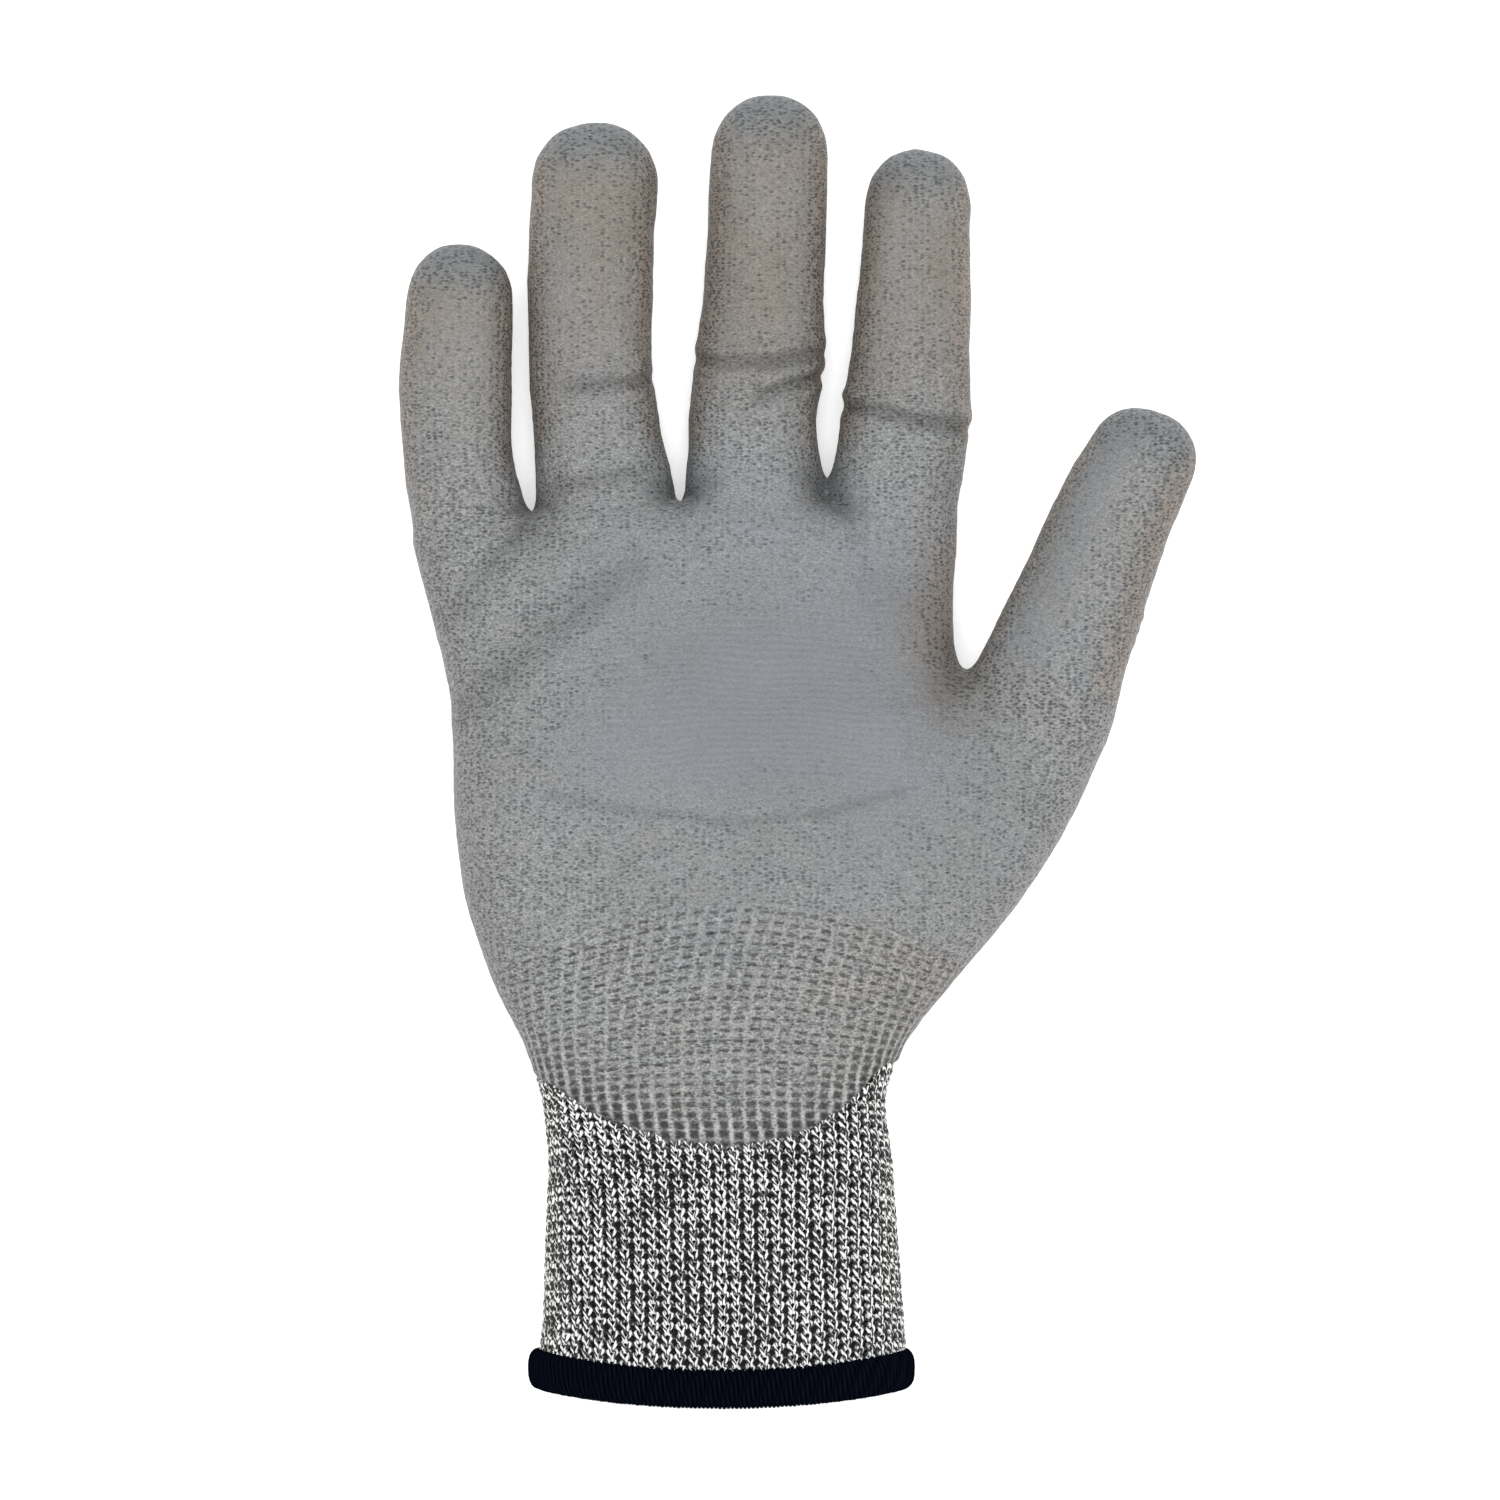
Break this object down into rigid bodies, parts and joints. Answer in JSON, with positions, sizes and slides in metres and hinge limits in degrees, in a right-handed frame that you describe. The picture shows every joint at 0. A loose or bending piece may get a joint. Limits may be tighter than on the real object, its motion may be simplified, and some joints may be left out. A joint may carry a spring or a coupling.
{
  "type": "cut resistant glove",
  "caption": "Right-hand seamless knit work glove with a smooth grey palm coating, a speckled rib cuff and a dark overlocked hem; it bends at the finger joints and the wrist.",
  "frame": {"origin": "centre of the bounding box on the floor the glove lies on, under its back", "axes": "+Y from the cuff to the fingertips, +Z out of the coated palm, +X towards the thumb"},
  "size_m": [0.152, 0.25, 0.0488],
  "materials": {
    "yarn_knit": "matte salt and pepper knit",
    "coating_film": "matte polyurethane film",
    "hem_thread": "matte wrapped thread",
    "elastic_yarn": "matte covered elastic"
  },
  "bodies": {
    "palm": {"palm_knit": "yarn_knit", "palm_coating": "coating_film"},
    "little_proximal": {"little_proximal_knit": "yarn_knit", "little_proximal_coating": "coating_film"},
    "little_middle": {"little_middle_knit": "yarn_knit", "little_middle_coating": "coating_film"},
    "little_tip": {"little_tip_knit": "yarn_knit", "little_tip_coating": "coating_film"},
    "ring_proximal": {"ring_proximal_knit": "yarn_knit", "ring_proximal_coating": "coating_film"},
    "ring_middle": {"ring_middle_knit": "yarn_knit", "ring_middle_coating": "coating_film"},
    "ring_tip": {"ring_tip_knit": "yarn_knit", "ring_tip_coating": "coating_film"},
    "middle_proximal": {"middle_proximal_knit": "yarn_knit", "middle_proximal_coating": "coating_film"},
    "middle_middle": {"middle_middle_knit": "yarn_knit", "middle_middle_coating": "coating_film"},
    "middle_tip": {"middle_tip_knit": "yarn_knit", "middle_tip_coating": "coating_film"},
    "index_proximal": {"index_proximal_knit": "yarn_knit", "index_proximal_coating": "coating_film"},
    "index_middle": {"index_middle_knit": "yarn_knit", "index_middle_coating": "coating_film"},
    "index_tip": {"index_tip_knit": "yarn_knit", "index_tip_coating": "coating_film"},
    "thumb_proximal": {"thumb_proximal_knit": "yarn_knit", "thumb_proximal_coating": "coating_film"},
    "thumb_tip": {"thumb_tip_knit": "yarn_knit", "thumb_tip_coating": "coating_film"},
    "cuff": {"cuff_knit": "yarn_knit", "cuff_hem": "hem_thread", "cuff_elastic": "elastic_yarn"}
  },
  "joints": [
    {"name": "little_base_bend", "type": "hinge", "parent": "palm", "child": "little_proximal", "pos_m": [-0.0632, 0.0465, 0.0163], "axis": [1, 0, 0], "range_deg": [0, 60]},
    {"name": "little_middle_bend", "type": "hinge", "parent": "little_proximal", "child": "little_middle", "pos_m": [-0.06481, 0.0585, 0.0144], "axis": [1, 0, 0], "range_deg": [0, 78]},
    {"name": "little_end_bend", "type": "hinge", "parent": "little_middle", "child": "little_tip", "pos_m": [-0.06489, 0.0755, 0.01405], "axis": [1, 0, 0], "range_deg": [0, 40]},
    {"name": "ring_base_bend", "type": "hinge", "parent": "palm", "child": "ring_proximal", "pos_m": [-0.037, 0.0515, 0.0182], "axis": [1, 0, 0], "range_deg": [0, 60]},
    {"name": "ring_middle_bend", "type": "hinge", "parent": "ring_proximal", "child": "ring_middle", "pos_m": [-0.0392, 0.071, 0.0156], "axis": [1, 0, 0], "range_deg": [0, 78]},
    {"name": "ring_end_bend", "type": "hinge", "parent": "ring_middle", "child": "ring_tip", "pos_m": [-0.03908, 0.094, 0.01587], "axis": [1, 0, 0], "range_deg": [0, 50]},
    {"name": "middle_base_bend", "type": "hinge", "parent": "palm", "child": "middle_proximal", "pos_m": [-0.0082, 0.052, 0.0186], "axis": [1, 0, 0], "range_deg": [0, 60]},
    {"name": "middle_middle_bend", "type": "hinge", "parent": "middle_proximal", "child": "middle_middle", "pos_m": [-0.0072, 0.073, 0.0158], "axis": [1, 0, 0], "range_deg": [0, 78]},
    {"name": "middle_end_bend", "type": "hinge", "parent": "middle_middle", "child": "middle_tip", "pos_m": [-0.00558, 0.098, 0.016], "axis": [1, 0, 0], "range_deg": [0, 50]},
    {"name": "index_base_bend", "type": "hinge", "parent": "palm", "child": "index_proximal", "pos_m": [0.0197, 0.0515, 0.0184], "axis": [1, 0, 0], "range_deg": [0, 60]},
    {"name": "index_middle_bend", "type": "hinge", "parent": "index_proximal", "child": "index_middle", "pos_m": [0.02121, 0.0655, 0.01611], "axis": [1, 0, 0], "range_deg": [0, 78]},
    {"name": "index_end_bend", "type": "hinge", "parent": "index_middle", "child": "index_tip", "pos_m": [0.0226, 0.09, 0.016], "axis": [1, 0, 0], "range_deg": [0, 50]},
    {"name": "thumb_base_bend", "type": "hinge", "parent": "palm", "child": "thumb_proximal", "pos_m": [0.04538, 0.01119, 0.02519], "axis": [0.8938, -0.3662, 0.2588], "range_deg": [0, 40]},
    {"name": "thumb_end_bend", "type": "hinge", "parent": "thumb_proximal", "child": "thumb_tip", "pos_m": [0.0561, 0.03706, 0.02439], "axis": [0.8938, -0.3662, 0.2588], "range_deg": [0, 60]},
    {"name": "wrist_bend", "type": "hinge", "parent": "palm", "child": "cuff", "pos_m": [-0.0141, -0.078, 0.0225], "axis": [-1, 0, 0], "range_deg": [-20, 25]}
  ]
}
